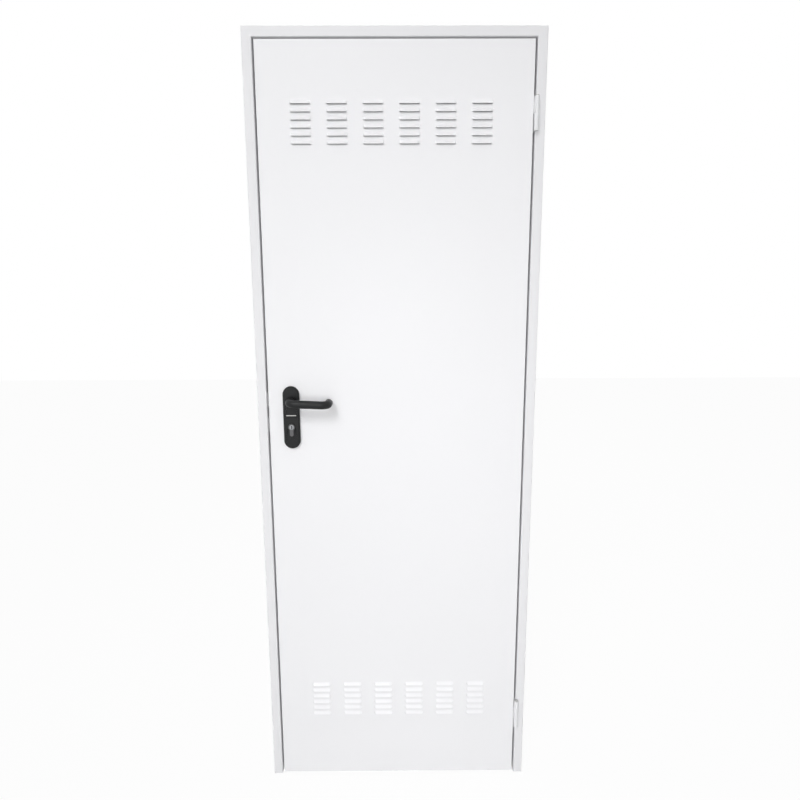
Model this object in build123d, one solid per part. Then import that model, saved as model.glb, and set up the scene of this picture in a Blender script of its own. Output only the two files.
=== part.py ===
from build123d import *
import math
import os

# Louvred steel storeroom door: a pressed frame of two jambs and a head, and a hollow leaf of two
# thin skins with louvres pressed through both, hung on two knuckle hinges, with a lever on a plate.
# Millimetres. X runs right as seen from the front, Y into the wall, Z up from the floor.
# The origin is on the outer flat of the hinge jamb, at floor level and halfway along its front lip.

# Leaf
LEAF_WIDTH = 676.0
LEAF_HEIGHT = 2000.0
LEAF_THICKNESS = 38.0
SKIN = 0.8
SKIN_RETURN = 12.0
CHANNEL_SHEET = 1.2
CHANNEL_BEND = 1.0
CHANNEL_LEG = 20.0

# Gaps round the leaf
SIDE_GAP = 5.0
TOP_GAP = 5.0
FLOOR_GAP = 6.0
STOP_GAP = 5.0

# Pressed frame
FRAME_SHEET = 1.5
FRAME_BEND = 1.0
FACE_WIDTH = 24.5
LIP_DEPTH = 20.0
STOP_WIDTH = 14.0
REVEAL_DEPTH = 25.0
BACK_LIP = 8.0
FIXING_HOLE = 10.5
FIXING_FIRST = 300.0
FIXING_SPACING = 700.0
FIXING_ROWS = 3

# Louvres
LOUVRE_COLUMNS = 6
LOUVRE_ROWS = 6
LOUVRE_COLUMN_PITCH = 88.9
LOUVRE_ROW_PITCH = 18.5
LOUVRE_WIDTH = 52.0
LOUVRE_HEIGHT = 9.0
LOUVRE_RISE = 5.0
LOUVRE_END_SLOPE = 2.5
TOP_GROUP_DROP = 191.0
TOP_GROUP_SHIFT = -9.0
BOTTOM_GROUP_RISE = 238.5
BOTTOM_GROUP_SHIFT = 2.0
VENT_MARGIN = 20.0

# Hinges
KNUCKLE_RADIUS = 6.0
PIN_RADIUS = 3.5
PIN_FIT = 0.05
PIN_HEAD_RADIUS = 5.0
PIN_HEAD_HEIGHT = 2.0
KNUCKLE_GAP = 0.3
HINGE_BLADE = 3.0
HINGE_BLADE_DEPTH = 24.0
PIVOT_AHEAD = 8.0
UPPER_HINGE_TOP_DROP = 130.0
UPPER_KNUCKLE_LENGTHS = (38.0, 41.0)
LOWER_HINGE_TOP_RISE = 235.0
LOWER_KNUCKLE_LENGTHS = (26.0, 34.0, 23.0)

# Lock
BACKSET = 60.0
SPINDLE_HEIGHT = 1122.0
CYLINDER_DROP = 70.0
SPINDLE_SIDE = 8.0
SPINDLE_FIT = 0.05
SPINDLE_CLEARANCE = 0.35
SPINDLE_SEAT = 26.0
SPINDLE_HOLE = 8.0
CASE_ABOVE_SPINDLE = 52.5
CASE_BELOW_CYLINDER = 42.5
CASE_THICKNESS = 15.0
CASE_BEHIND_SPINDLE = 26.0
CASE_CLEARANCE = 1.0
FOREND_WIDTH = 22.0
FOREND_HEIGHT = 235.0
FOREND_THICKNESS = 3.0
LATCH_HEIGHT = 32.0
LATCH_THICKNESS = 11.0
LATCH_TIP = 2.0
BOLT_HEIGHT = 34.0
BOLT_THICKNESS = 9.0
BOLT_LENGTH = 36.0
BOLT_CLEARANCE = 0.3
STRIKE_MARGIN = 3.0
CYLINDER_RADIUS = 8.5
CYLINDER_TAIL_WIDTH = 10.0
CYLINDER_HEIGHT = 33.0
CYLINDER_PROUD = 2.5
CYLINDER_CLEARANCE = 0.3
KEYWAY_WIDTH = 2.4
KEYWAY_HEIGHT = 9.0
KEYWAY_DEPTH = 9.0

# Handle set
PLATE_WIDTH = 43.5
PLATE_ABOVE = 39.0
PLATE_BELOW = 129.0
PLATE_THICKNESS = 10.0
PLATE_BEVEL = 4.0
COVER_JOINT_DROP = 43.0
COVER_JOINT_GAP = 0.3
STRIP_WIDTH = 26.0
STRIP_HEIGHT = 2.6
STRIP_DROP = 38.7
STRIP_DEPTH = 0.6
GRIP_RADIUS = 10.5
GRIP_SIDES = 16
GRIP_AHEAD = 50.0
GRIP_REACH = 111.0
GRIP_BEND = 19.0
GRIP_BEND_STEPS = 5
GRIP_DROOP = 2.5
GRIP_END_GAP = 9.0
GRIP_END_CHAMFER = 2.0
NECK_RADIUS = 9.0
NECK_FIT = 0.05
COLLAR_RADIUS = 12.5
COLLAR_HEIGHT = 2.5
COLLAR_GAP = 0.3

# Places that follow from the sizes above
FRONT = -LIP_DEPTH / 2
BACK = FRONT + LEAF_THICKNESS
STOP = BACK + STOP_GAP
FRAME_BACK = STOP + REVEAL_DEPTH
FRAME_WIDTH = LEAF_WIDTH + 2 * (SIDE_GAP + FACE_WIDTH)
FRAME_HEIGHT = FLOOR_GAP + LEAF_HEIGHT + TOP_GAP + FACE_WIDTH
MEMBER_WIDTH = FACE_WIDTH + STOP_WIDTH
LEAF_RIGHT = -(FACE_WIDTH + SIDE_GAP)
LEAF_LEFT = LEAF_RIGHT - LEAF_WIDTH
LEAF_MIDDLE = (LEAF_LEFT + LEAF_RIGHT) / 2
LEAF_BOTTOM = FLOOR_GAP
LEAF_TOP = FLOOR_GAP + LEAF_HEIGHT
INNER_FRONT = FRONT + SKIN
INNER_BACK = BACK - 2 * SKIN
LOCK_Y = (INNER_FRONT + INNER_BACK) / 2
FIXING_Y = (STOP + FRAME_BACK) / 2
PIVOT_X = LEAF_RIGHT + KNUCKLE_RADIUS
PIVOT_Y = FRONT - PIVOT_AHEAD
SPINDLE_X = LEAF_LEFT + BACKSET
SPINDLE_Z = LEAF_BOTTOM + SPINDLE_HEIGHT
CYLINDER_Z = SPINDLE_Z - CYLINDER_DROP
CASE_TOP = SPINDLE_Z + CASE_ABOVE_SPINDLE
CASE_BOTTOM = CYLINDER_Z - CASE_BELOW_CYLINDER
CASE_Z = (CASE_TOP + CASE_BOTTOM) / 2
PLATE_TOP = SPINDLE_Z + PLATE_ABOVE
PLATE_BOTTOM = SPINDLE_Z - PLATE_BELOW
PLATE_Z = (PLATE_TOP + PLATE_BOTTOM) / 2
COVER_JOINT_Z = SPINDLE_Z - COVER_JOINT_DROP
STRIP_Z = SPINDLE_Z - STRIP_DROP
TOP_GROUP = (LEAF_MIDDLE + TOP_GROUP_SHIFT, LEAF_TOP - TOP_GROUP_DROP)
BOTTOM_GROUP = (LEAF_MIDDLE + BOTTOM_GROUP_SHIFT, LEAF_BOTTOM + BOTTOM_GROUP_RISE)
VENT_HALF = (LOUVRE_ROWS - 1) * LOUVRE_ROW_PITCH / 2 + VENT_MARGIN


def block(x_low, x_high, y_low, y_high, z_low, z_high):
    """A plain block between six planes."""
    size = (x_high - x_low, y_high - y_low, z_high - z_low)
    middle = ((x_low + x_high) / 2, (y_low + y_high) / 2, (z_low + z_high) / 2)
    return Pos(*middle) * Box(*size)


def bent_sheet(points, sheet, inside, turns):
    """The section of a folded sheet whose visible side runs through these points.

    turns says of each corner whether the sheet folds away from its visible side or towards it.
    """
    radii = [inside + sheet if turn == "away" else inside for turn in turns]
    visible = FilletPolyline(*points, radius=radii)
    return make_face(offset(visible, amount=sheet, side=Side.LEFT))


def rod(x, z, radius, y_low, y_high):
    """A round bar along Y."""
    return Pos(x, (y_low + y_high) / 2, z) * Rot(X=90) * Cylinder(radius, y_high - y_low)


def post(x, y, radius, z_low, z_high):
    """A round bar along Z."""
    return Pos(x, y, (z_low + z_high) / 2) * Cylinder(radius, z_high - z_low)


def member_section():
    """The bent sheet of one frame member, its outer flat on the Y axis and its face towards -Y."""
    points = [
        (0, FRONT + LIP_DEPTH),
        (0, FRONT),
        (FACE_WIDTH, FRONT),
        (FACE_WIDTH, STOP),
        (MEMBER_WIDTH, STOP),
        (MEMBER_WIDTH, FRAME_BACK),
        (0, FRAME_BACK),
        (0, FRAME_BACK - BACK_LIP),
    ]
    turns = ["away", "away", "towards", "away", "away", "away"]
    return bent_sheet(points, FRAME_SHEET, FRAME_BEND, turns)


def jamb():
    """The right jamb from the floor to its mitre, with the screw holes through its reveal."""
    shape = extrude(mirror(member_section(), about=Plane.YZ), amount=FRAME_HEIGHT)
    above_mitre = Plane.XZ * Polygon(
        (0, FRAME_HEIGHT),
        (-FRAME_HEIGHT, FRAME_HEIGHT),
        (-FRAME_HEIGHT, 0),
        align=None,
    )
    shape -= extrude(above_mitre, amount=FRAME_HEIGHT, both=True)
    for row in range(FIXING_ROWS):
        place = Pos(-MEMBER_WIDTH, FIXING_Y, FIXING_FIRST + row * FIXING_SPACING)
        shape -= place * Rot(Y=90) * Cylinder(FIXING_HOLE / 2, FRAME_SHEET * 4)
    return shape


def lock_jamb():
    """The left jamb: the right one handed over, with the two slots that take latch and bolt."""
    shape = Pos(-FRAME_WIDTH, 0, 0) * mirror(jamb(), about=Plane.YZ)
    wall = -FRAME_WIDTH + FACE_WIDTH
    for height, tall, thick in (
        (SPINDLE_Z, LATCH_HEIGHT, LATCH_THICKNESS),
        (CYLINDER_Z, BOLT_HEIGHT, BOLT_THICKNESS),
    ):
        half_tall = tall / 2 + STRIKE_MARGIN
        half_thick = thick / 2 + STRIKE_MARGIN
        shape -= block(
            wall - 2 * FRAME_SHEET,
            wall + FRAME_SHEET,
            LOCK_Y - half_thick,
            LOCK_Y + half_thick,
            height - half_tall,
            height + half_tall,
        )
    return shape


def head_rail():
    """The head, the same bent sheet laid across the top and mitred at both ends."""
    upright = extrude(member_section(), amount=FRAME_WIDTH)
    shape = Pos(-FRAME_WIDTH, 0, FRAME_HEIGHT) * Rot(Y=90) * upright
    keep = Plane.XZ * Polygon(
        (0, FRAME_HEIGHT),
        (-FRAME_WIDTH, FRAME_HEIGHT),
        (-FRAME_WIDTH / 2, FRAME_HEIGHT - FRAME_WIDTH / 2),
        align=None,
    )
    return shape & extrude(keep, amount=FRAME_HEIGHT, both=True)


def louvre_places(group):
    """The middles of one group of louvres, whose group centre is taken at their lips."""
    middle_x, middle_z = group
    across = [
        middle_x + (column - (LOUVRE_COLUMNS - 1) / 2) * LOUVRE_COLUMN_PITCH
        for column in range(LOUVRE_COLUMNS)
    ]
    up = [
        middle_z + LOUVRE_HEIGHT / 2 + (row - (LOUVRE_ROWS - 1) / 2) * LOUVRE_ROW_PITCH
        for row in range(LOUVRE_ROWS)
    ]
    return [(x, z) for x in across for z in up]


def hood_form(inset):
    """One hood as a full solid on the sheet's plane: its slope falls from crease to lip."""
    slope = math.hypot(LOUVRE_RISE, LOUVRE_HEIGHT)
    lip = -LOUVRE_HEIGHT / 2
    rise = LOUVRE_RISE - inset * slope / LOUVRE_HEIGHT
    crease = lip + LOUVRE_HEIGHT - inset * slope / LOUVRE_RISE
    side = Plane.YZ * Polygon((-rise, lip), (0, lip), (0, crease), align=None)
    half = LOUVRE_WIDTH / 2 - inset
    plan = Polygon(
        (-half, 0),
        (-half + LOUVRE_END_SLOPE, -LOUVRE_RISE),
        (half - LOUVRE_END_SLOPE, -LOUVRE_RISE),
        (half, 0),
        align=None,
    )
    return extrude(side, amount=half, both=True) & extrude(plan, amount=LOUVRE_HEIGHT, both=True)


def louvred_sheet(x_low, x_high, y_front):
    """A flat sheet with its hoods pressed out towards -Y and the slots behind them open."""
    places = louvre_places(TOP_GROUP) + louvre_places(BOTTOM_GROUP)
    inner = hood_form(SKIN)
    crease = inner.bounding_box().max.Z
    lip = inner.bounding_box().min.Z
    slot = Pos(0, (crease + lip) / 2) * Rectangle(LOUVRE_WIDTH - 2 * SKIN, crease - lip)
    outline = Pos((x_low + x_high) / 2, (LEAF_BOTTOM + LEAF_TOP) / 2) * Rectangle(
        x_high - x_low, LEAF_HEIGHT
    )
    face = outline - [Pos(x, z) * slot for x, z in places]
    sheet = extrude(Plane.XZ.offset(-y_front) * face, amount=-SKIN)
    hood = hood_form(0) - inner
    return sheet + [Pos(x, y_front, z) * hood for x, z in places]


def slotted_bar(width, height, middle_z, y_low, y_high):
    """A flat bar on the spindle's line, upright, with fully round ends."""
    outline = Pos(SPINDLE_X, middle_z) * SlotOverall(height, width, rotation=90)
    return extrude(Plane.XZ.offset(-y_low) * outline, amount=y_low - y_high)


def cylinder_form(clearance, y_low, y_high):
    """The profile of the key cylinder: a round barrel over a round-ended tail."""
    radius = CYLINDER_RADIUS + clearance
    tail = CYLINDER_TAIL_WIDTH / 2 + clearance
    lowest = CYLINDER_Z + CYLINDER_RADIUS - CYLINDER_HEIGHT - clearance
    barrel = Pos(SPINDLE_X, CYLINDER_Z) * Circle(radius)
    tail_end = Pos(SPINDLE_X, lowest + tail) * Circle(tail)
    neck_height = CYLINDER_Z - lowest - tail
    neck = Pos(SPINDLE_X, CYLINDER_Z - neck_height / 2) * Rectangle(2 * tail, neck_height)
    outline = barrel + neck + tail_end
    return extrude(Plane.XZ.offset(-y_low) * outline, amount=y_low - y_high)


def through_holes():
    """What spindle and cylinder need cut through the leaf."""
    spindle = rod(SPINDLE_X, SPINDLE_Z, SPINDLE_HOLE, FRONT, BACK)
    return spindle + cylinder_form(CYLINDER_CLEARANCE, FRONT, BACK)


def forend_form(x_high):
    """The round-ended outline of the forend, from the leaf's edge to this depth."""
    outline = Pos(LOCK_Y, CASE_Z) * SlotOverall(FOREND_HEIGHT, FOREND_WIDTH, rotation=90)
    return extrude(Plane.YZ.offset(LEAF_LEFT) * outline, amount=x_high - LEAF_LEFT)


def front_skin():
    """The front sheet, with both edges folded back and returned behind the leaf."""
    skin = louvred_sheet(LEAF_LEFT, LEAF_RIGHT, FRONT)
    for edge, inward in ((LEAF_LEFT, 1), (LEAF_RIGHT, -1)):
        flange = sorted((edge, edge + inward * SKIN))
        lip = sorted((edge, edge + inward * SKIN_RETURN))
        skin += block(*flange, FRONT, BACK, LEAF_BOTTOM, LEAF_TOP)
        skin += block(*lip, BACK - SKIN, BACK, LEAF_BOTTOM, LEAF_TOP)
    return skin - through_holes() - forend_form(LEAF_LEFT + SKIN)


def back_skin():
    """The back sheet, held inside the returns of the front one, with its hoods to the back."""
    flat = louvred_sheet(LEAF_LEFT + SKIN, LEAF_RIGHT - SKIN, -(BACK - SKIN))
    return mirror(flat, about=Plane.XZ) - through_holes()


def closing_channel(z_low, z_high):
    """The channel that closes one end of the leaf, its legs towards the middle."""
    points = [
        (INNER_BACK, z_low),
        (INNER_BACK, z_high),
        (INNER_FRONT, z_high),
        (INNER_FRONT, z_low),
    ]
    section = bent_sheet(points, CHANNEL_SHEET, CHANNEL_BEND, ["away", "away"])
    start = Plane.YZ.offset(LEAF_LEFT + SKIN)
    return extrude(start * section, amount=LEAF_WIDTH - 2 * SKIN)


def top_channel():
    return closing_channel(LEAF_TOP - CHANNEL_LEG, LEAF_TOP)


def bottom_channel():
    upright = closing_channel(-LEAF_BOTTOM - CHANNEL_LEG, -LEAF_BOTTOM)
    return mirror(upright, about=Plane.XY)


def core(z_low, z_high):
    """A slab of the foam between the skins; the louvred stretches stay empty."""
    return block(
        LEAF_LEFT + SKIN, LEAF_RIGHT - SKIN, INNER_FRONT, INNER_BACK, z_low, z_high
    )


def core_middle():
    """The long slab, cut away through its whole depth where the lock goes."""
    slab = core(BOTTOM_GROUP[1] + VENT_HALF, TOP_GROUP[1] - VENT_HALF)
    half_height = FOREND_HEIGHT / 2 + CASE_CLEARANCE
    return slab - block(
        LEAF_LEFT,
        SPINDLE_X + CASE_BEHIND_SPINDLE + CASE_CLEARANCE,
        FRONT,
        BACK,
        CASE_Z - half_height,
        CASE_Z + half_height,
    )


def bolt_form(height, tall, thick, clearance, depth):
    """The space or the body of a bolt that slides out through the forend."""
    return block(
        LEAF_LEFT,
        LEAF_LEFT + depth,
        LOCK_Y - thick / 2 - clearance,
        LOCK_Y + thick / 2 + clearance,
        height - tall / 2 - clearance,
        height + tall / 2 + clearance,
    )


def bolt_spaces():
    """The two guides through forend and case."""
    depth = BOLT_LENGTH + BOLT_CLEARANCE
    latch = bolt_form(SPINDLE_Z, LATCH_HEIGHT, LATCH_THICKNESS, BOLT_CLEARANCE, depth)
    return latch + bolt_form(CYLINDER_Z, BOLT_HEIGHT, BOLT_THICKNESS, BOLT_CLEARANCE, depth)


def lock_case():
    """The mortised case, with the bores for spindle and cylinder and its two guides."""
    case = block(
        LEAF_LEFT + FOREND_THICKNESS,
        SPINDLE_X + CASE_BEHIND_SPINDLE,
        LOCK_Y - CASE_THICKNESS / 2,
        LOCK_Y + CASE_THICKNESS / 2,
        CASE_BOTTOM,
        CASE_TOP,
    )
    turning = SPINDLE_SIDE / 2 * math.sqrt(2) + SPINDLE_CLEARANCE
    case -= rod(SPINDLE_X, SPINDLE_Z, turning, FRONT, BACK)
    return case - cylinder_form(CYLINDER_CLEARANCE, FRONT, BACK) - bolt_spaces()


def lock_forend():
    """The forend, flush in the leaf's edge."""
    return forend_form(LEAF_LEFT + FOREND_THICKNESS) - bolt_spaces()


def latch_bolt():
    """The spring latch, drawn back level with the forend, its nose bevelled on the closing side."""
    latch = bolt_form(SPINDLE_Z, LATCH_HEIGHT, LATCH_THICKNESS, 0, BOLT_LENGTH)
    nose = Polygon(
        (LEAF_LEFT, LOCK_Y + LATCH_THICKNESS / 2),
        (LEAF_LEFT + LATCH_THICKNESS, LOCK_Y + LATCH_THICKNESS / 2),
        (LEAF_LEFT, LOCK_Y - LATCH_THICKNESS / 2 + LATCH_TIP),
        align=None,
    )
    return latch - extrude(Pos(0, 0, SPINDLE_Z) * nose, amount=LATCH_HEIGHT, both=True)


def dead_bolt():
    """The dead bolt, drawn back level with the forend."""
    return bolt_form(CYLINDER_Z, BOLT_HEIGHT, BOLT_THICKNESS, 0, BOLT_LENGTH)


def lock_cylinder():
    """The double cylinder through leaf and plates, with a keyway at each end."""
    first = FRONT - PLATE_THICKNESS - CYLINDER_PROUD
    last = BACK + PLATE_THICKNESS + CYLINDER_PROUD
    shape = cylinder_form(0, first, last)
    for y_low, y_high in ((first, first + KEYWAY_DEPTH), (last - KEYWAY_DEPTH, last)):
        shape -= block(
            SPINDLE_X - KEYWAY_WIDTH / 2,
            SPINDLE_X + KEYWAY_WIDTH / 2,
            y_low,
            y_high,
            CYLINDER_Z - KEYWAY_HEIGHT / 2,
            CYLINDER_Z + KEYWAY_HEIGHT / 2,
        )
    return shape


def neck_hole():
    return rod(SPINDLE_X, SPINDLE_Z, NECK_RADIUS + NECK_FIT, FRONT - PLATE_THICKNESS, FRONT)


def cover():
    """The moulded cover before it is parted, bevelled all round its face."""
    plate = slotted_bar(
        PLATE_WIDTH, PLATE_ABOVE + PLATE_BELOW, PLATE_Z, FRONT - PLATE_THICKNESS, FRONT
    )
    rim = plate.faces().sort_by(Axis.Y)[0].edges()
    return chamfer(rim, PLATE_BEVEL)


def cover_side(z_low, z_high):
    """The stretch of the plate between two heights."""
    half = PLATE_WIDTH / 2
    return block(
        SPINDLE_X - half, SPINDLE_X + half, FRONT - PLATE_THICKNESS, FRONT, z_low, z_high
    )


def upper_cover():
    """The part of the cover round the lever."""
    above_joint = cover_side(COVER_JOINT_Z + COVER_JOINT_GAP / 2, PLATE_TOP)
    return (cover() & above_joint) - neck_hole()


def lower_cover():
    """The part of the cover round the cylinder."""
    below_joint = cover_side(PLATE_BOTTOM, COVER_JOINT_Z - COVER_JOINT_GAP / 2)
    hole = cylinder_form(CYLINDER_CLEARANCE, FRONT - PLATE_THICKNESS, FRONT)
    return (cover() & below_joint) - hole


def marker_strip():
    """The plain pale strip let into the upper cover."""
    face = FRONT - PLATE_THICKNESS
    return block(
        SPINDLE_X - STRIP_WIDTH / 2,
        SPINDLE_X + STRIP_WIDTH / 2,
        face,
        face + STRIP_DEPTH,
        STRIP_Z - STRIP_HEIGHT / 2,
        STRIP_Z + STRIP_HEIGHT / 2,
    )


def grip_bend(centre_x, first_angle):
    """Points along the middle line of one quarter bend, turning back towards the leaf."""
    points = []
    for step in range(GRIP_BEND_STEPS + 1):
        angle = math.radians(first_angle - 90 * step / GRIP_BEND_STEPS)
        out = GRIP_AHEAD - GRIP_BEND + GRIP_BEND * math.sin(angle)
        points.append((centre_x + GRIP_BEND * math.cos(angle), FRONT - out, SPINDLE_Z))
    return points


def grip():
    """The bent bar of the lever: out from the plate, along the leaf, and back towards it."""
    collar_front = FRONT - PLATE_THICKNESS - COLLAR_GAP - COLLAR_HEIGHT
    end_x = SPINDLE_X + GRIP_REACH - GRIP_RADIUS
    middle_line = Polyline(
        (SPINDLE_X, collar_front, SPINDLE_Z),
        *grip_bend(SPINDLE_X + GRIP_BEND, 180),
        *grip_bend(end_x - GRIP_BEND, 90),
        (end_x, FRONT - GRIP_END_GAP, SPINDLE_Z),
    )
    section = RegularPolygon(GRIP_RADIUS, GRIP_SIDES)
    start = Plane(origin=middle_line @ 0, x_dir=(1, 0, 0), z_dir=middle_line % 0)
    bar = sweep(start * section, path=middle_line, transition=Transition.RIGHT)
    free_end = bar.faces().filter_by(Axis.Y).sort_by(Axis.X)[-1]
    return chamfer(free_end.edges(), GRIP_END_CHAMFER)


def lever():
    """The lever: a neck that turns in the plate, a collar, and a grip that returns to the leaf."""
    collar_back = FRONT - PLATE_THICKNESS - COLLAR_GAP
    collar_front = collar_back - COLLAR_HEIGHT
    neck = rod(SPINDLE_X, SPINDLE_Z, NECK_RADIUS, collar_back, FRONT)
    collar = rod(SPINDLE_X, SPINDLE_Z, COLLAR_RADIUS, collar_front, collar_back)
    return turned_about_spindle(grip(), GRIP_DROOP) + collar + neck - spindle_form(SPINDLE_FIT)


def turned_about_spindle(shape, angle):
    """The shape turned about the spindle, its grip going down."""
    centre = Pos(SPINDLE_X, 0, SPINDLE_Z)
    return centre * Rot(Y=angle) * centre.inverse() * shape


def spindle_form(fit):
    """The square bar, or the square hole that it goes into."""
    half = SPINDLE_SIDE / 2 + fit
    return block(
        SPINDLE_X - half,
        SPINDLE_X + half,
        FRONT - SPINDLE_SEAT - fit,
        BACK + SPINDLE_SEAT + fit,
        SPINDLE_Z - half,
        SPINDLE_Z + half,
    )


def to_the_back(shape):
    """The same piece on the back of the leaf."""
    return Pos(0, FRONT + BACK, 0) * mirror(shape, about=Plane.XZ)


def knuckle(blade_x, z_low, z_high):
    """One knuckle with its blade, which runs back into the gap beside the leaf."""
    blade = block(
        blade_x, blade_x + HINGE_BLADE, PIVOT_Y, FRONT + HINGE_BLADE_DEPTH, z_low, z_high
    )
    barrel = post(PIVOT_X, PIVOT_Y, KNUCKLE_RADIUS, z_low, z_high)
    bore = post(PIVOT_X, PIVOT_Y, PIN_RADIUS + PIN_FIT, z_low, z_high)
    return barrel + blade - bore


def leaf_knuckle(z_low, z_high):
    return knuckle(LEAF_RIGHT, z_low, z_high)


def frame_knuckle(z_low, z_high):
    return knuckle(-FACE_WIDTH - HINGE_BLADE, z_low, z_high)


def hinge_pin(z_low, z_high):
    """The pin, its head just above the top knuckle."""
    head_low = z_high + KNUCKLE_GAP
    shank = post(PIVOT_X, PIVOT_Y, PIN_RADIUS, z_low, head_low)
    return shank + post(PIVOT_X, PIVOT_Y, PIN_HEAD_RADIUS, head_low, head_low + PIN_HEAD_HEIGHT)


def knuckle_spans(top, lengths):
    """The lower and upper end of each knuckle, from the top down."""
    spans = []
    for length in lengths:
        spans.append((top - length, top))
        top -= length + KNUCKLE_GAP
    return spans


UPPER_SPANS = knuckle_spans(LEAF_TOP - UPPER_HINGE_TOP_DROP, UPPER_KNUCKLE_LENGTHS)
LOWER_SPANS = knuckle_spans(LEAF_BOTTOM + LOWER_HINGE_TOP_RISE, LOWER_KNUCKLE_LENGTHS)

PARTS = {
    "hinge_jamb": jamb(),
    "lock_jamb": lock_jamb(),
    "head_rail": head_rail(),
    "upper_hinge_frame_knuckle": frame_knuckle(*UPPER_SPANS[1]),
    "upper_hinge_leaf_knuckle": leaf_knuckle(*UPPER_SPANS[0]),
    "upper_hinge_pin": hinge_pin(UPPER_SPANS[-1][0], UPPER_SPANS[0][1]),
    "lower_hinge_frame_knuckle_top": frame_knuckle(*LOWER_SPANS[0]),
    "lower_hinge_leaf_knuckle": leaf_knuckle(*LOWER_SPANS[1]),
    "lower_hinge_frame_knuckle_bottom": frame_knuckle(*LOWER_SPANS[2]),
    "lower_hinge_pin": hinge_pin(LOWER_SPANS[-1][0], LOWER_SPANS[0][1]),
    "front_skin": front_skin(),
    "back_skin": back_skin(),
    "top_channel": top_channel(),
    "bottom_channel": bottom_channel(),
    "core_top": core(TOP_GROUP[1] + VENT_HALF, LEAF_TOP - CHANNEL_LEG),
    "core_middle": core_middle(),
    "core_bottom": core(LEAF_BOTTOM + CHANNEL_LEG, BOTTOM_GROUP[1] - VENT_HALF),
    "lock_case": lock_case(),
    "lock_forend": lock_forend(),
    "latch_bolt": latch_bolt(),
    "dead_bolt": dead_bolt(),
    "lock_cylinder": lock_cylinder(),
    "front_upper_cover": upper_cover() - marker_strip(),
    "front_lower_cover": lower_cover(),
    "front_marker_strip": marker_strip(),
    "front_lever": lever(),
    "back_upper_cover": to_the_back(upper_cover()),
    "back_lower_cover": to_the_back(lower_cover()),
    "back_lever": to_the_back(lever()),
    "spindle": spindle_form(0),
}

os.makedirs("parts", exist_ok=True)
for name, shape in PARTS.items():
    export_step(shape, f"parts/{name}.step")
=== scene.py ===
# Louvred steel storeroom door: a white pressed frame, a hollow leaf of two thin sheets with
# louvres pressed through both, knuckle hinges, and a black lever over a key cylinder.
# Metres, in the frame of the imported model: X to the hinge side, Y into the wall, Z up.

import math

import bmesh
import bpy
from mathutils import Euler, Matrix, Vector


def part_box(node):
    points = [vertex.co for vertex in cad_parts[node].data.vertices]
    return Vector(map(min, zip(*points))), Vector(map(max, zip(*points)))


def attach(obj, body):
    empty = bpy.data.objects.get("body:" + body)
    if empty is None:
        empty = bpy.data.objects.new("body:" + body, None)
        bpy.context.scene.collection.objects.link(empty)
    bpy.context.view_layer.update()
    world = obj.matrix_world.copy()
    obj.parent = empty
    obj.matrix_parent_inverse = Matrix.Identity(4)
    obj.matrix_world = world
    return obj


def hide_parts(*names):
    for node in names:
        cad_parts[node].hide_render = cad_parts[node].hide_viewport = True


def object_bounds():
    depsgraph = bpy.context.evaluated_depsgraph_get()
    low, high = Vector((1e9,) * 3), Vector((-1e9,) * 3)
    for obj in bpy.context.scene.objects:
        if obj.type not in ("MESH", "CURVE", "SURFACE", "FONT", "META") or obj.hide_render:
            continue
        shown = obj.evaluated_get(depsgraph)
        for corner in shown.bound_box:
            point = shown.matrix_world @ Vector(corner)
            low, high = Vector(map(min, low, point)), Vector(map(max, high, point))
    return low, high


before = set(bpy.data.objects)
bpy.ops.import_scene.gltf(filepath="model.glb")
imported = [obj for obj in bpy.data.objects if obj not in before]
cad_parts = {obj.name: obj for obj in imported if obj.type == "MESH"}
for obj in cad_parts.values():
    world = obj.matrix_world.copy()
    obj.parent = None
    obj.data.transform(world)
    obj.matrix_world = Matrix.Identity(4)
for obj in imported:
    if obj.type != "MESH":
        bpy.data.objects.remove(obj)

cad_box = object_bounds()

# Pressed frame
# Two jambs and a head, each bent from one strip of galvanised steel and mitred at the corners.
# The strip is coated white before it is bent, so the paint runs unbroken round the bends.

PEEL_SPACING = 0.0016
PEEL_DEPTH = 0.000012
TONE_SPACING = 0.55
WELD_DISTANCE = 0.000002
SHARP_ANGLE = 30
BEVEL_STEPS = 2


def linear(hex_colour):
    """An sRGB hex colour as linear red, green, blue and full alpha."""
    channels = [int(hex_colour[i:i + 2], 16) / 255 for i in (0, 2, 4)]
    return [
        c / 12.92 if c <= 0.04045 else ((c + 0.055) / 1.055) ** 2.4 for c in channels
    ] + [1.0]


def add_node(tree, kind, settings=None, inputs=None):
    """Adds one shader node. An input is a plain value or the socket that feeds it."""
    node = tree.nodes.new(kind)
    for name, value in (settings or {}).items():
        setattr(node, name, value)
    for name, value in (inputs or {}).items():
        if isinstance(value, bpy.types.NodeSocket):
            tree.links.new(value, node.inputs[name])
        else:
            node.inputs[name].default_value = value
    return node


def new_material(name):
    """An empty node material, with its tree and the place where its surface ends."""
    material = bpy.data.materials.new(name)
    material.use_nodes = True
    tree = material.node_tree
    tree.nodes.clear()
    return material, tree, tree.nodes.new("ShaderNodeOutputMaterial")


def add_surface(tree, output, inputs):
    """A principled surface with these inputs, joined to the material's output."""
    shader = add_node(tree, "ShaderNodeBsdfPrincipled", inputs=inputs)
    tree.links.new(shader.outputs["BSDF"], output.inputs["Surface"])


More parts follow.
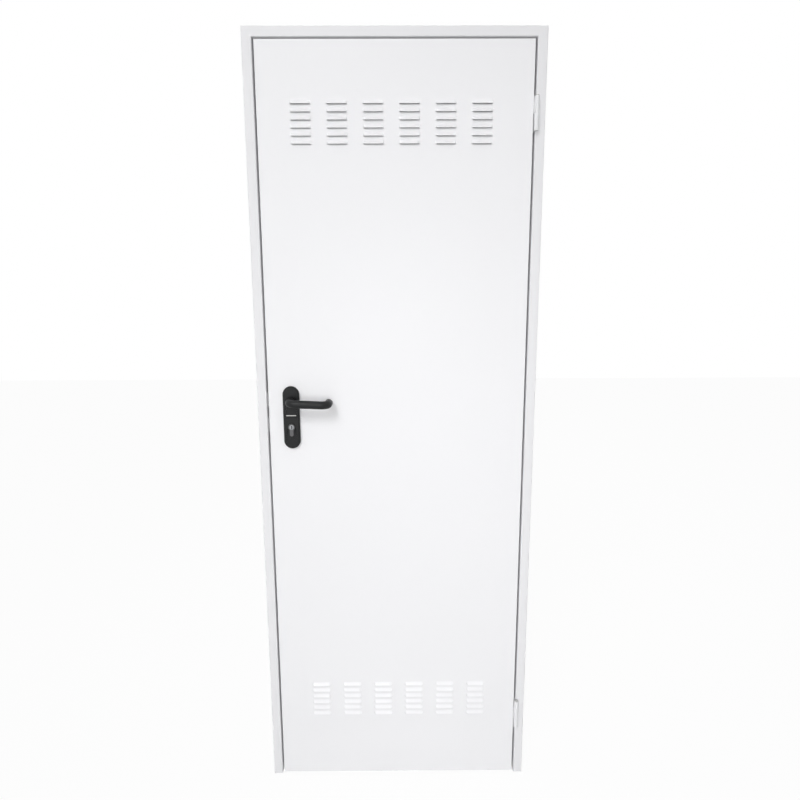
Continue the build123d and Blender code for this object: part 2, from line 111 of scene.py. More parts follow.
def steel_lacquer(name, colour, roughness):
    """Polyester lacquer on steel, rolled or sprayed: satin, with a very fine even peel."""
    material, tree, output = new_material(name)
    place = add_node(tree, "ShaderNodeTexCoord").outputs["Object"]
    tone = add_node(
        tree, "ShaderNodeTexNoise",
        inputs={"Vector": place, "Scale": 1 / TONE_SPACING, "Detail": 2.0, "Roughness": 0.5},
    )
    shade = add_node(
        tree, "ShaderNodeMix", {"data_type": "RGBA"},
        {"Factor": tone.outputs["Fac"], 6: linear(colour[0]), 7: linear(colour[1])},
    )
    gloss = add_node(
        tree, "ShaderNodeMapRange",
        inputs={
            "Value": tone.outputs["Fac"], "From Min": 0.3, "From Max": 0.7,
            "To Min": roughness - 0.03, "To Max": roughness + 0.03,
        },
    )
    peel = add_node(
        tree, "ShaderNodeTexNoise",
        inputs={"Vector": place, "Scale": 1 / PEEL_SPACING, "Detail": 1.0},
    )
    bump = add_node(
        tree, "ShaderNodeBump",
        inputs={"Height": peel.outputs["Fac"], "Distance": PEEL_DEPTH, "Strength": 1.0},
    )
    add_surface(tree, output, {
        "Base Color": shade.outputs[2], "Roughness": gloss.outputs["Result"],
        "Normal": bump.outputs["Normal"], "IOR": 1.5,
    })
    return material


def join_corners(piece):
    """Joins the corners that meeting faces share."""
    weld = piece.modifiers.new("weld", "WELD")
    weld.merge_threshold = WELD_DISTANCE


def break_edges(piece, width):
    """Breaks the sharp edges of a hard piece, as moulding, grinding or tumbling leaves them."""
    bevel = piece.modifiers.new("broken edges", "BEVEL")
    bevel.width = width
    bevel.segments = BEVEL_STEPS
    bevel.angle_limit = math.radians(SHARP_ANGLE)


def smooth_flats(piece):
    """Smooth shading that keeps broad flats flat."""
    for face in piece.data.polygons:
        face.use_smooth = True
    weighted = piece.modifiers.new("flat faces", "WEIGHTED_NORMAL")
    weighted.keep_sharp = False
    weighted.weight = 100


def finish_node(name, material, edge=0.0):
    """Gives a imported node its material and, if it has a width for them, broken edges."""
    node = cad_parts[name]
    node.data.materials.clear()
    node.data.materials.append(material)
    join_corners(node)
    if edge:
        break_edges(node, edge)
    smooth_flats(node)


frame_lacquer = steel_lacquer("white coil-coated steel, frame", ("ececee", "e9e9eb"), 0.42)
for member in ("hinge_jamb", "lock_jamb", "head_rail"):
    finish_node(member, frame_lacquer)


# Sheets of the leaf
# Two sheets of coated steel, the front one folded round both long edges and back on itself.
# The louvres are cut along their lip and pressed out in one stroke, so they have soft feet.

SHEET = 0.0008
FOLD_RADIUS = 0.0012
FOLD_STEPS = 5
RETURN_WIDTH = 0.012
LOUVRE_COLUMNS = 6
LOUVRE_ROWS = 6
COLUMN_PITCH = 0.0889
ROW_PITCH = 0.0185
LOUVRE_WIDTH = 0.052
LOUVRE_HEIGHT = 0.009
LOUVRE_RISE = 0.005
LOUVRE_END = 0.005
LOUVRE_SOFTNESS = 1.25
LOUVRE_FLARE = 1.25
LOUVRE_CUT = 0.0005
LOUVRE_MARGIN = 0.002
END_SHARES = (0, 0.08, 0.2, 0.4, 0.65, 1)
CROWN_SHARE = 0.4
SLOPE_SHARES = (0, 0.12, 0.25, 0.38, 0.52, 0.68, 0.84, 1)
CELL_FOOT = 0.005
TOP_GROUP_DROP = 0.191
TOP_GROUP_SHIFT = -0.009
BOTTOM_GROUP_RISE = 0.2385
BOTTOM_GROUP_SHIFT = 0.002
SPINDLE_HOLE = 0.008
HOLE_STEPS = 32
SLOT_STEPS = 12
JOIN_DISTANCE = 0.000001

sheet_low, sheet_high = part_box("front_skin")
leaf_front = sheet_low.y + LOUVRE_RISE
leaf_back = sheet_high.y
leaf_middle = (sheet_low.x + sheet_high.x) / 2
spindle_low, spindle_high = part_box("spindle")
spindle_x = (spindle_low.x + spindle_high.x) / 2
spindle_z = (spindle_low.z + spindle_high.z) / 2


def pressed(share):
    """The rise of a pressed form from its soft foot, at 0, to its crown, at 1."""
    return math.sin(math.pi / 2 * min(1.0, max(0.0, share))) ** LOUVRE_SOFTNESS


def louvre_rise(across, up):
    """How far the sheet stands out, at a place measured from the middle of the lip."""
    end = pressed((LOUVRE_WIDTH / 2 - abs(across)) / LOUVRE_END)
    return LOUVRE_RISE * end * max(0.0, 1 - up / LOUVRE_HEIGHT) ** LOUVRE_FLARE


def louvre_lines():
    """Where the louvre's grid lines lie, across from its middle and up from its lip."""
    half = LOUVRE_WIDTH / 2
    end = [half - LOUVRE_END * share for share in END_SHARES]
    side = [half + LOUVRE_MARGIN] + end + [half * CROWN_SHARE]
    across = [-x for x in side] + [0.0] + side[::-1]
    up = [LOUVRE_HEIGHT * share for share in SLOPE_SHARES]
    return across, up


def add_louvre(mesh, middle_x, lip_z, face_y, outward):
    """Presses one louvre in the middle of its cell, the flat that reaches halfway to the next.

    The lip comes up a little as it is pressed out, so the cut in the flat lies lower than the lip.
    """
    across, up = louvre_lines()
    heights = [-LOUVRE_CUT - LOUVRE_MARGIN] + up + [LOUVRE_HEIGHT + LOUVRE_MARGIN]

    def corner(x, z, rise):
        return mesh.verts.new((middle_x + x, face_y + outward * rise, lip_z + z))

    upper = [[corner(x, z, louvre_rise(x, z) if z >= 0 else 0) for x in across]
             for z in heights]
    below_lip = [
        corner(x, -LOUVRE_CUT, 0) if louvre_rise(x, 0) > 0 else upper[1][i]
        for i, x in enumerate(across)
    ]
    rows = [(upper[0], below_lip)] + list(zip(upper[1:], upper[2:]))
    for low, high in rows:
        for i in range(len(across) - 1):
            mesh.faces.new((low[i], low[i + 1], high[i + 1], high[i]))
    left = [row[0] for row in upper]
    right = [row[-1] for row in upper]
    foot, head = -CELL_FOOT, ROW_PITCH - CELL_FOOT
    foot_left, foot_right = (corner(x * COLUMN_PITCH / 2, foot, 0) for x in (-1, 1))
    head_left, head_right = (corner(x * COLUMN_PITCH / 2, head, 0) for x in (-1, 1))
    mesh.faces.new([foot_left, foot_right] + upper[0][::-1])
    mesh.faces.new([foot_right, head_right] + right[::-1])
    mesh.faces.new([head_right, head_left] + upper[-1])
    mesh.faces.new([head_left, foot_left] + left)


def fill_outlines(mesh, outlines):
    """Fills the flat between closed lines of corners, one of which runs round the others."""
    edges = [
        mesh.edges.get(pair) or mesh.edges.new(pair)
        for corners in outlines for pair in zip(corners, corners[1:] + corners[:1])
    ]
    bmesh.ops.triangle_fill(mesh, edges=edges, use_beauty=True, use_dissolve=False)


def arc_points(across, up, radius, first, last, steps):
    """Points of an arc round this centre, across and up, between two angles in degrees."""
    angles = [math.radians(first + (last - first) * i / steps) for i in range(steps + 1)]
    return [(across + radius * math.cos(a), up + radius * math.sin(a)) for a in angles]


def louvre_groups():
    """The lines between the louvres' cells, across and up, in the lower and the upper group."""
    middles = (
        (leaf_middle + BOTTOM_GROUP_SHIFT, sheet_low.z + BOTTOM_GROUP_RISE),
        (leaf_middle + TOP_GROUP_SHIFT, sheet_high.z - TOP_GROUP_DROP),
    )
    return [
        ([x + (i - LOUVRE_COLUMNS / 2) * COLUMN_PITCH for i in range(LOUVRE_COLUMNS + 1)],
         [z - CELL_FOOT + (i - (LOUVRE_ROWS - 1) / 2) * ROW_PITCH
          for i in range(LOUVRE_ROWS + 1)])
        for x, z in middles
    ]


CYLINDER_RADIUS = 0.0085
CYLINDER_TAIL = 0.005
CYLINDER_CLEARANCE = 0.0003
BARREL_STEPS = 24
TAIL_STEPS = 10
cylinder_low, cylinder_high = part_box("lock_cylinder")
cylinder_z = cylinder_high.z - CYLINDER_RADIUS


def cylinder_outline(grow):
    """The key cylinder's profile: a round barrel over a narrower round-ended tail."""
    radius = CYLINDER_RADIUS + grow
    tail = CYLINDER_TAIL + grow
    tail_z = cylinder_low.z + CYLINDER_TAIL
    shoulder = math.degrees(math.asin(tail / radius))
    barrel = arc_points(
        spindle_x, cylinder_z, radius, -90 + shoulder, 270 - shoulder, BARREL_STEPS
    )
    return barrel + arc_points(spindle_x, tail_z, tail, 180, 360, TAIL_STEPS)


def add_panel(mesh, x_low, x_high, face_y, outward):
    """One flat face of the leaf with its louvres, and the holes for spindle and cylinder."""
    def corners(outline):
        return [mesh.verts.new((x, face_y, z)) for x, z in outline]

    def line_across(columns, z):
        return [(x, z) for x in [x_low] + columns + [x_high]]

    lower, upper = louvre_groups()
    for columns, rows in (lower, upper):
        for x in columns[:-1]:
            for z in rows[:-1]:
                add_louvre(mesh, x + COLUMN_PITCH / 2, z + CELL_FOOT, face_y, outward)
        for side_x, group_x in ((x_low, columns[0]), (x_high, columns[-1])):
            side = [(side_x, rows[0])] + [(group_x, z) for z in rows] + [(side_x, rows[-1])]
            mesh.faces.new(corners(side))
    below = [(x_high, sheet_low.z), (x_low, sheet_low.z)] + line_across(lower[0], lower[1][0])
    above = [(x_high, sheet_high.z), (x_low, sheet_high.z)] + line_across(upper[0], upper[1][-1])
    mesh.faces.new(corners(below))
    mesh.faces.new(corners(above))
    between = line_across(lower[0], lower[1][-1]) + line_across(upper[0], upper[1][0])[::-1]
    spindle_hole = arc_points(spindle_x, spindle_z, SPINDLE_HOLE, 0, 360, HOLE_STEPS)[:-1]
    cylinder_hole = cylinder_outline(CYLINDER_CLEARANCE)
    fill_outlines(mesh, [corners(line) for line in (between, spindle_hole, cylinder_hole)])


def add_piece(name, mesh, material, body, replaced):
    """Turns a finished mesh into a piece that rides on its body."""
    data = bpy.data.meshes.new(name)
    mesh.to_mesh(data)
    mesh.free()
    data.materials.append(material)
    piece = bpy.data.objects.new(name, data)
    bpy.context.scene.collection.objects.link(piece)
    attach(piece, body)
    if replaced:
        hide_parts(*replaced)
    return piece


def close_sheet(mesh, outward):
    """Joins the parts of a sheet and turns its visible side outwards."""
    bmesh.ops.remove_doubles(mesh, verts=mesh.verts, dist=JOIN_DISTANCE)
    bmesh.ops.recalc_face_normals(mesh, faces=mesh.faces)
    broadest = max(mesh.faces, key=lambda face: face.calc_area())
    if broadest.normal.y * outward < 0:
        bmesh.ops.reverse_faces(mesh, faces=mesh.faces)


def thicken(piece, backing):
    """Gives a sheet its thickness, inwards from its visible side, and its backing coat."""
    piece.data.materials.append(backing)
    solid = piece.modifiers.new("sheet thickness", "SOLIDIFY")
    solid.thickness = SHEET
    solid.offset = -1.0
    solid.material_offset = 1
    smooth_flats(piece)


def fold_line(edge_x, inward):
    """The section of a folded edge, from the front face round to the return behind."""
    radius = FOLD_RADIUS
    line = []
    for centre_y, first in ((leaf_front + radius, 0), (leaf_back - radius, 90)):
        for i in range(FOLD_STEPS + 1):
            angle = math.radians(first + 90 * i / FOLD_STEPS)
            line.append((
                edge_x + inward * radius * (1 - math.sin(angle)),
                centre_y - radius * math.cos(angle),
            ))
    line.append((edge_x + inward * RETURN_WIDTH, leaf_back))
    return line


def add_fold(mesh, edge_x, inward, slot):
    """One folded long edge; the flat of the edge is left open for the slot's outline."""
    heights = [sheet_low.z]
    for _, rows in louvre_groups():
        heights += [rows[0], rows[-1]]
    heights.append(sheet_high.z)
    columns = [
        [mesh.verts.new((x, y, z)) for z in heights] for x, y in fold_line(edge_x, inward)
    ]
    for i, (near, far) in enumerate(zip(columns, columns[1:])):
        strip = near + far[::-1]
        if i == FOLD_STEPS and slot:
            slot_corners = [mesh.verts.new((edge_x, y, z)) for y, z in slot]
            fill_outlines(mesh, [slot_corners, strip])
        else:
            mesh.faces.new(strip)


def forend_slot():
    """The outline in the leaf's edge that the lock's forend fills."""
    low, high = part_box("lock_forend")
    radius = (high.y - low.y) / 2
    middle_y = (low.y + high.y) / 2
    top = arc_points(middle_y, high.z - radius, radius, 0, 180, SLOT_STEPS)
    return top + arc_points(middle_y, low.z + radius, radius, 180, 360, SLOT_STEPS)


def front_sheet(material, backing):
    """The front sheet, folded round both long edges of the leaf."""
    mesh = bmesh.new()
    add_panel(mesh, sheet_low.x + FOLD_RADIUS, sheet_high.x - FOLD_RADIUS, leaf_front, -1)
    add_fold(mesh, sheet_low.x, 1, forend_slot())
    add_fold(mesh, sheet_high.x, -1, None)
    close_sheet(mesh, -1)
    sheet = add_piece("front_sheet", mesh, material, "leaf", ["front_skin"])
    thicken(sheet, backing)


def back_sheet(material, backing):
    """The back sheet, flat, against the inner side of the front sheet's returns."""
    mesh = bmesh.new()
    add_panel(mesh, sheet_low.x + SHEET, sheet_high.x - SHEET, leaf_back - SHEET, 1)
    close_sheet(mesh, 1)
    sheet = add_piece("back_sheet", mesh, material, "leaf", ["back_skin"])
    thicken(sheet, backing)


leaf_lacquer = steel_lacquer("white coil-coated steel, leaf", ("f4f4f6", "f1f1f3"), 0.45)
backing_coat = steel_lacquer("grey backing coat on galvanised steel", ("c2c5c6", "b8bbbd"), 0.55)
front_sheet(leaf_lacquer, backing_coat)
back_sheet(leaf_lacquer, backing_coat)


# Closing channels and core
# Folded channels close the leaf at top and bottom, and slabs of rigid foam fill the stretches
# between the louvres. Both show only at the ends of the leaf and through the louvres.

FOAM_CELL = 0.0009
FOAM_EDGE = 0.0004


def cut_foam():
    """Rigid polyurethane foam cut with a wire: pale yellow, open cells, quite matt; painted shade
    darkens the cells' hollows.
    """
    material, tree, output = new_material("rigid polyurethane foam, cut")
    place = add_node(tree, "ShaderNodeTexCoord").outputs["Object"]
    cells = add_node(
        tree, "ShaderNodeTexVoronoi", inputs={"Vector": place, "Scale": 1 / FOAM_CELL}
    )
    # Painted shade: the colour darkens towards each cell's middle, where the bump sinks into a
    # hollow.
    colour = add_node(
        tree, "ShaderNodeMix", {"data_type": "RGBA"},
        {"Factor": cells.outputs["Distance"], 6: linear("c9b98a"), 7: linear("e3d7ae")},
    )
    bump = add_node(
        tree, "ShaderNodeBump",
        inputs={"Height": cells.outputs["Distance"], "Distance": FOAM_CELL / 3},
    )
    add_surface(tree, output, {
        "Base Color": colour.outputs[2], "Roughness": 0.9, "Normal": bump.outputs["Normal"],
    })
    return material


foam = cut_foam()
for slab in ("core_top", "core_middle", "core_bottom"):
    finish_node(slab, foam, FOAM_EDGE)
for channel in ("top_channel", "bottom_channel"):
    finish_node(channel, leaf_lacquer)


# Hinges
# Rolled steel knuckles welded to frame and leaf and sprayed white with them, the leaf's and the
# frame's turning on one zinc-plated pin.

KNUCKLE_EDGE = 0.0006
PIN_EDGE = 0.0009
BRUSH_SPACING = 0.0007
BRUSH_PER_METRE_ALONG = 30.0
BRUSH_DEPTH = 0.000008


def grained_metal(name, colour, roughness):
    """Metal, plated or turned: soft grey, with a faint grain along its height."""
    material, tree, output = new_material(name)
    place = add_node(tree, "ShaderNodeTexCoord").outputs["Object"]
    stretch = add_node(
        tree, "ShaderNodeMapping",
        inputs={
            "Vector": place,
            "Scale": (1 / BRUSH_SPACING, 1 / BRUSH_SPACING, BRUSH_PER_METRE_ALONG),
        },
    )
    grain = add_node(
        tree, "ShaderNodeTexNoise",
        inputs={"Vector": stretch.outputs["Vector"], "Scale": 1.0, "Detail": 2.0},
    )
    gloss = add_node(
        tree, "ShaderNodeMapRange",
        inputs={
            "Value": grain.outputs["Fac"], "To Min": roughness - 0.08, "To Max": roughness + 0.1
        },
    )
    bump = add_node(
        tree, "ShaderNodeBump",
        inputs={"Height": grain.outputs["Fac"], "Distance": BRUSH_DEPTH},
    )
    add_surface(tree, output, {
        "Base Color": linear(colour), "Metallic": 1.0, "Roughness": gloss.outputs["Result"],
        "Normal": bump.outputs["Normal"],
    })
    return material


hinge_lacquer = steel_lacquer("white sprayed steel, hinges", ("ececee", "e9eaec"), 0.4)
zinc = grained_metal("zinc-plated steel", "c9cac8", 0.32)
for knuckle in (
    "upper_hinge_frame_knuckle", "upper_hinge_leaf_knuckle", "lower_hinge_frame_knuckle_top",
    "lower_hinge_leaf_knuckle", "lower_hinge_frame_knuckle_bottom",
):
    finish_node(knuckle, hinge_lacquer, KNUCKLE_EDGE)
for pin in ("upper_hinge_pin", "lower_hinge_pin"):
    finish_node(pin, zinc, PIN_EDGE)


# Lock
# A mortise lock slid into the leaf's edge, its forend flush there and held by two screws.
# The latch and the dead bolt are drawn back level with the forend.

LOCK_EDGE = 0.0003
RIM_STEPS = 32
RIM_CHAMFER = 0.00015
SCREW_RADIUS = 0.0038
SCREW_PROUD = 0.0004
SCREW_FROM_END = 0.014
CROSS_REACH = 0.0021
CROSS_HALF = 0.00055
CROSS_DEPTH = 0.00035


def add_faced_disc(mesh, place, radius, height, recess, depth):
    """A low disc with a recess in its face, or a slot through it if the depth is its height.

    place turns across, up and out into a point.
    """
    def ring(size, out):
        turns = [2 * math.pi * i / RIM_STEPS for i in range(RIM_STEPS)]
        return [mesh.verts.new(place(size * math.cos(a), size * math.sin(a), out)) for a in turns]

    def wall(near, far):
        for i in range(len(near)):
            j = (i + 1) % len(near)
            mesh.faces.new((near[i], near[j], far[j], far[i]))

    foot = ring(radius, 0.0)
    rim = ring(radius, height - RIM_CHAMFER)
    face = ring(radius - RIM_CHAMFER, height)
    mouth = [mesh.verts.new(place(u, v, height)) for u, v in recess]
    floor = [mesh.verts.new(place(u, v, height - depth)) for u, v in recess]
    wall(foot, rim)
    wall(rim, face)
    wall(mouth, floor)
    fill_outlines(mesh, [face, mouth])
    if depth < height:
        mesh.faces.new(foot)
        mesh.faces.new(floor)
    else:
        fill_outlines(mesh, [foot, floor])
    bmesh.ops.recalc_face_normals(mesh, faces=mesh.faces)


def cross_outline():
    """The outline of a cross recess, round from its right arm."""
    arm, half = CROSS_REACH, CROSS_HALF
    quarter = [(arm, -half), (arm, half), (half, half)]
    outline = []
    for turn in range(4):
        for u, v in quarter:
            for _ in range(turn):
                u, v = -v, u
            outline.append((u, v))
    return outline


def forend_screws(material):
    """The heads of the two screws that hold the forend, a little proud of it."""
    low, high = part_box("lock_forend")
    middle_y = (low.y + high.y) / 2
    for name, z in (("top", high.z - SCREW_FROM_END), ("bottom", low.z + SCREW_FROM_END)):
        mesh = bmesh.new()
        add_faced_disc(
            mesh, lambda u, v, out: (low.x - out, middle_y + u, z + v),
            SCREW_RADIUS, SCREW_PROUD, cross_outline(), CROSS_DEPTH,
        )
        smooth_flats(add_piece("forend_screw_" + name, mesh, material, "leaf", None))


for lock_piece in ("lock_case", "lock_forend", "latch_bolt", "dead_bolt"):
    finish_node(lock_piece, zinc, LOCK_EDGE)
forend_screws(zinc)


# Key cylinder
# A double cylinder through leaf and plates: a body of dark nickel-plated brass, and at each end
# a plug of paler nickel silver, its face satin from turning. The keyway goes through the plug
# to the body's face, whose dark colour stands in as painted shade for the keyway's depth.

PLUG_RADIUS = 0.0064
PLUG_PROUD = 0.0004
KEYWAY_HALF_WIDTH = 0.0012
KEYWAY_HALF_HEIGHT = 0.0045


def cylinder_plug(name, face_y, outward, material):
    """The plug's face at one end of the cylinder, slotted for the key."""
    mesh = bmesh.new()
    keyway = [
        (-KEYWAY_HALF_WIDTH, -KEYWAY_HALF_HEIGHT), (KEYWAY_HALF_WIDTH, -KEYWAY_HALF_HEIGHT),
        (KEYWAY_HALF_WIDTH, KEYWAY_HALF_HEIGHT), (-KEYWAY_HALF_WIDTH, KEYWAY_HALF_HEIGHT),
    ]
    add_faced_disc(
        mesh, lambda u, v, out: (spindle_x + u, face_y + outward * out, cylinder_z + v),
        PLUG_RADIUS, PLUG_PROUD, keyway, PLUG_PROUD,
    )
    smooth_flats(add_piece(name, mesh, material, "leaf", None))


# The body's dark colour also paints the shade of the keyway, where it shows through each plug's
# slot.
nickel = grained_metal("nickel-plated brass, dark satin, with painted keyway shade", "606061", 0.38)
finish_node("lock_cylinder", nickel, LOCK_EDGE)
nickel_silver = grained_metal("nickel silver, turned", "8e9093", 0.3)
cylinder_plug("front_cylinder_plug", cylinder_low.y, -1, nickel_silver)
cylinder_plug("back_cylinder_plug", cylinder_high.y, 1, nickel_silver)


# Handle plates
# Black nylon covers pressed over the fixing screws on both faces, in two parts that meet under
# the lever. The upper one in front has a plain pale strip let into it, which draws the pale line
# that crosses that cover.

PLATE_EDGE = 0.0008
GRAIN_SPACING = 0.0011
GRAIN_DEPTH = 0.00002
STRIP_EDGE = 0.0002


def moulded_plastic(name, colours, roughness, sheen):
    """Plastic from a finely eroded mould, with a soft grainy sheen.

    The real grain is about 0.2 mm; it is drawn some five times as coarse, so that it shows.
    """
    material, tree, output = new_material(name)
    place = add_node(tree, "ShaderNodeTexCoord").outputs["Object"]
    grain = add_node(
        tree, "ShaderNodeTexNoise",
        inputs={"Vector": place, "Scale": 1 / GRAIN_SPACING, "Detail": 3.0, "Roughness": 0.6},
    )
    colour = add_node(
        tree, "ShaderNodeMix", {"data_type": "RGBA"},
        {"Factor": grain.outputs["Fac"], 6: linear(colours[0]), 7: linear(colours[1])},
    )
    gloss = add_node(
        tree, "ShaderNodeMapRange",
        inputs={
            "Value": grain.outputs["Fac"], "To Min": roughness - 0.05, "To Max": roughness + 0.07
        },
    )
    bump = add_node(
        tree, "ShaderNodeBump",
        inputs={"Height": grain.outputs["Fac"], "Distance": GRAIN_DEPTH},
    )
    add_surface(tree, output, {
        "Base Color": colour.outputs[2], "Roughness": gloss.outputs["Result"],
        "Normal": bump.outputs["Normal"], "IOR": 1.53, "Specular IOR Level": sheen,
    })
    return material


nylon = moulded_plastic("black glass-filled nylon, moulded", ("0e0f10", "141617"), 0.45, 0.28)
for cover in ("front_upper_cover", "front_lower_cover", "back_upper_cover", "back_lower_cover"):
    finish_node(cover, nylon, PLATE_EDGE)
# The pale line across the front upper cover is drawn in colour, by this pale grey strip.
strip_plastic = moulded_plastic("pale grey plastic, moulded", ("c0c0be", "c8c8c5"), 0.4, 0.5)
finish_node("front_marker_strip", strip_plastic, STRIP_EDGE)


# Levers and spindle
# Each lever is a nylon tube over a steel core, bent back towards the leaf at its free end. A
# short neck turns in the plate, and both sit on one square zinc-plated bar through the lock.

GRIP_RADIUS = 0.0105
GRIP_AHEAD = 0.050
GRIP_REACH = 0.111
GRIP_BEND = 0.019
GRIP_DROOP = 2.5
GRIP_END_GAP = 0.009
GRIP_END_ROUND = 0.004
GRIP_STEPS = 40
BEND_STEPS = 14
END_STEPS = 6
PLATE_THICKNESS = 0.010
COLLAR_RADIUS = 0.0125
COLLAR_HEIGHT = 0.0025
COLLAR_GAP = 0.0003
COLLAR_ROUND = 0.0006
NECK_RADIUS = 0.009


def grip_stations():
    """Along the grip's middle line, in its own plane: place, direction and radius there."""
    collar_front = PLATE_THICKNESS + COLLAR_GAP + COLLAR_HEIGHT
    end_x = GRIP_REACH - GRIP_RADIUS
    bend_out = GRIP_AHEAD - GRIP_BEND
    stations = [((0.0, collar_front), 90.0, GRIP_RADIUS)]
    for centre_x, first in ((GRIP_BEND, 180.0), (end_x - GRIP_BEND, 90.0)):
        for i in range(BEND_STEPS + 1):
            angle = first - 90 * i / BEND_STEPS
            place = (
                centre_x + GRIP_BEND * math.cos(math.radians(angle)),
                bend_out + GRIP_BEND * math.sin(math.radians(angle)),
            )
            stations.append((place, angle - 90, GRIP_RADIUS))
    for i in range(END_STEPS + 1):
        angle = math.radians(90 * i / END_STEPS)
        place = (end_x, GRIP_END_GAP + GRIP_END_ROUND * (1 - math.sin(angle)))
        radius = GRIP_RADIUS - GRIP_END_ROUND * (1 - math.cos(angle))
        stations.append((place, -90.0, radius))
    return stations


def add_rings(mesh, rings):
    """Skins a row of rings of equal count and closes both ends."""
    rows = [[mesh.verts.new(point) for point in ring] for ring in rings]
    count = len(rows[0])
    for near, far in zip(rows, rows[1:]):
        for i in range(count):
            j = (i + 1) % count
            mesh.faces.new((near[i], near[j], far[j], far[i]))
    mesh.faces.new(rows[0][::-1])
    mesh.faces.new(rows[-1])


def lever(name, face_y, outward, material):
    """One lever on the face at this depth, its grip standing out from the leaf."""
    droop = Matrix.Rotation(math.radians(GRIP_DROOP), 3, "Y")
    centre = Vector((spindle_x, face_y, spindle_z))
    up = Vector((0, 0, 1))
    turns = [2 * math.pi * i / GRIP_STEPS for i in range(GRIP_STEPS)]
    mesh = bmesh.new()
    rings = []
    for (along, out), heading, radius in grip_stations():
        angle = math.radians(heading)
        side = Vector((-math.sin(angle), outward * math.cos(angle), 0))
        middle = Vector((along, outward * out, 0))
        rings.append([
            centre + droop @ (middle + radius * (math.cos(a) * side + math.sin(a) * up))
            for a in turns
        ])
    add_rings(mesh, rings)
    profile = [
        (NECK_RADIUS, 0.0),
        (NECK_RADIUS, PLATE_THICKNESS + COLLAR_GAP),
        (COLLAR_RADIUS, PLATE_THICKNESS + COLLAR_GAP),
        (COLLAR_RADIUS, PLATE_THICKNESS + COLLAR_GAP + COLLAR_HEIGHT - COLLAR_ROUND),
        (COLLAR_RADIUS - COLLAR_ROUND, PLATE_THICKNESS + COLLAR_GAP + COLLAR_HEIGHT),
    ]
    add_rings(mesh, [
        [centre + Vector((r * math.cos(a), outward * out, r * math.sin(a))) for a in turns]
        for r, out in profile
    ])
    bmesh.ops.recalc_face_normals(mesh, faces=mesh.faces)
    piece = add_piece(name + "_smooth", mesh, material, "handle", [name])
    smooth_flats(piece)


lever("front_lever", leaf_front, -1, nylon)
lever("back_lever", leaf_back, 1, nylon)
finish_node("spindle", zinc, LOCK_EDGE)


# Floor and backdrop
# A white floor that keeps a faint shadow of the door, under an even white surround.

FLOOR_SIZE = 16.0
FLOOR_SHADE = 0.05


def seen_directly(tree):
    """1 for what the camera sees, straight on, mirrored or through glass, else 0."""
    path = add_node(tree, "ShaderNodeLightPath").outputs
    first = add_node(
        tree, "ShaderNodeMath", {"operation": "ADD"},
        {0: path["Is Camera Ray"], 1: path["Is Glossy Ray"]},
    )
    both = add_node(
        tree, "ShaderNodeMath", {"operation": "ADD", "use_clamp": True},
        {0: first.outputs[0], 1: path["Is Transmission Ray"]},
    )
    return both.outputs[0]


def white_floor():
    """White paint that glows where it is seen directly, so that it meets the surround."""
    material, tree, output = new_material("white studio floor")
    paint = add_node(
        tree, "ShaderNodeBsdfDiffuse", inputs={"Color": linear("e6e6e6"), "Roughness": 0.5}
    )
    glow = add_node(
        tree, "ShaderNodeEmission", inputs={"Color": linear("ffffff"), "Strength": 1.0}
    )
    share = add_node(
        tree, "ShaderNodeMath", {"operation": "MULTIPLY"},
        {0: seen_directly(tree), 1: 1 - FLOOR_SHADE},
    )
    mixed = add_node(
        tree, "ShaderNodeMixShader",
        inputs={0: share.outputs[0], 1: paint.outputs[0], 2: glow.outputs[0]},
    )
    tree.links.new(mixed.outputs[0], output.inputs["Surface"])
    return material


floor_mesh = bmesh.new()
bmesh.ops.create_grid(floor_mesh, x_segments=1, y_segments=1, size=FLOOR_SIZE / 2)
floor_data = bpy.data.meshes.new("studio_floor")
floor_mesh.to_mesh(floor_data)
floor_mesh.free()
floor_data.materials.append(white_floor())
floor = bpy.data.objects.new("studio_floor", floor_data)
floor.location = (leaf_middle, 0, cad_box[0][2])
bpy.context.scene.collection.objects.link(floor)

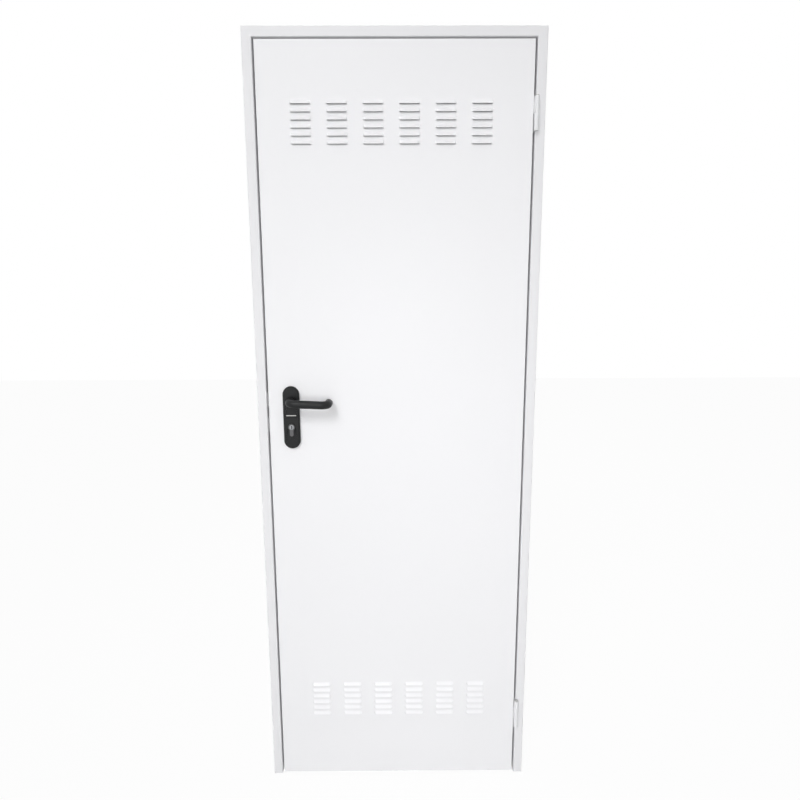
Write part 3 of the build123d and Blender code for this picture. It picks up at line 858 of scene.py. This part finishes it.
AMBIENT = 0.55
world = bpy.data.worlds.new("white surround")
world.use_nodes = True
bpy.context.scene.world = world
world.node_tree.nodes.clear()
strength = add_node(
    world.node_tree, "ShaderNodeMapRange",
    inputs={"Value": seen_directly(world.node_tree), "To Min": AMBIENT, "To Max": 1.0},
)
surround = add_node(
    world.node_tree, "ShaderNodeBackground",
    inputs={"Color": linear("ffffff"), "Strength": strength.outputs["Result"]},
)
add_node(
    world.node_tree, "ShaderNodeOutputWorld", inputs={"Surface": surround.outputs["Background"]}
)


# Lamps
# A broad soft box high on the left, as over a studio sweep, and a small fill behind the camera.


def soft_box(name, place, target, size, spread, power):
    """A round soft box, its grid letting the light out over this many degrees."""
    lamp = bpy.data.lights.new(name, "AREA")
    lamp.shape = "DISK"
    lamp.size = size
    lamp.spread = math.radians(spread)
    lamp.energy = power
    holder = bpy.data.objects.new(name, lamp)
    holder.location = place
    aim = Vector(target) - Vector(place)
    holder.rotation_euler = aim.to_track_quat("-Z", "Y").to_euler()
    bpy.context.scene.collection.objects.link(holder)


door_middle = (leaf_middle, leaf_front, 1.0)
soft_box(
    "key soft box", (leaf_middle - 1.6, -4.2, 4.2), door_middle, size=3.2, spread=34, power=10
)
soft_box("front fill", (leaf_middle, -2.2, 1.0), door_middle, size=0.6, spread=180, power=9)


# Camera
# At 1.4 m above the floor, a little over a metre and a half in front of the door, tilted down.

IMAGE_SIDE = 800
FOCAL_PIXELS = 610.1
CAMERA_PLACE = (-0.3652, -1.5991, 1.4200)
CAMERA_PITCH = 10.398
CAMERA_YAW = 0.263
CAMERA_ROLL = -0.2
SENSOR_WIDTH_MM = 36.0

camera_data = bpy.data.cameras.new("camera")
camera_data.sensor_width = SENSOR_WIDTH_MM
camera_data.lens = SENSOR_WIDTH_MM * FOCAL_PIXELS / IMAGE_SIDE
camera = bpy.data.objects.new("camera", camera_data)
heading = Euler((math.radians(90 - CAMERA_PITCH), 0, math.radians(-CAMERA_YAW))).to_matrix()
roll = Matrix.Rotation(math.radians(CAMERA_ROLL), 3, "Z")
camera.matrix_world = Matrix.Translation(CAMERA_PLACE) @ (heading @ roll).to_4x4()
bpy.context.scene.collection.objects.link(camera)
bpy.context.scene.camera = camera
bpy.context.scene.view_settings.view_transform = "Standard"
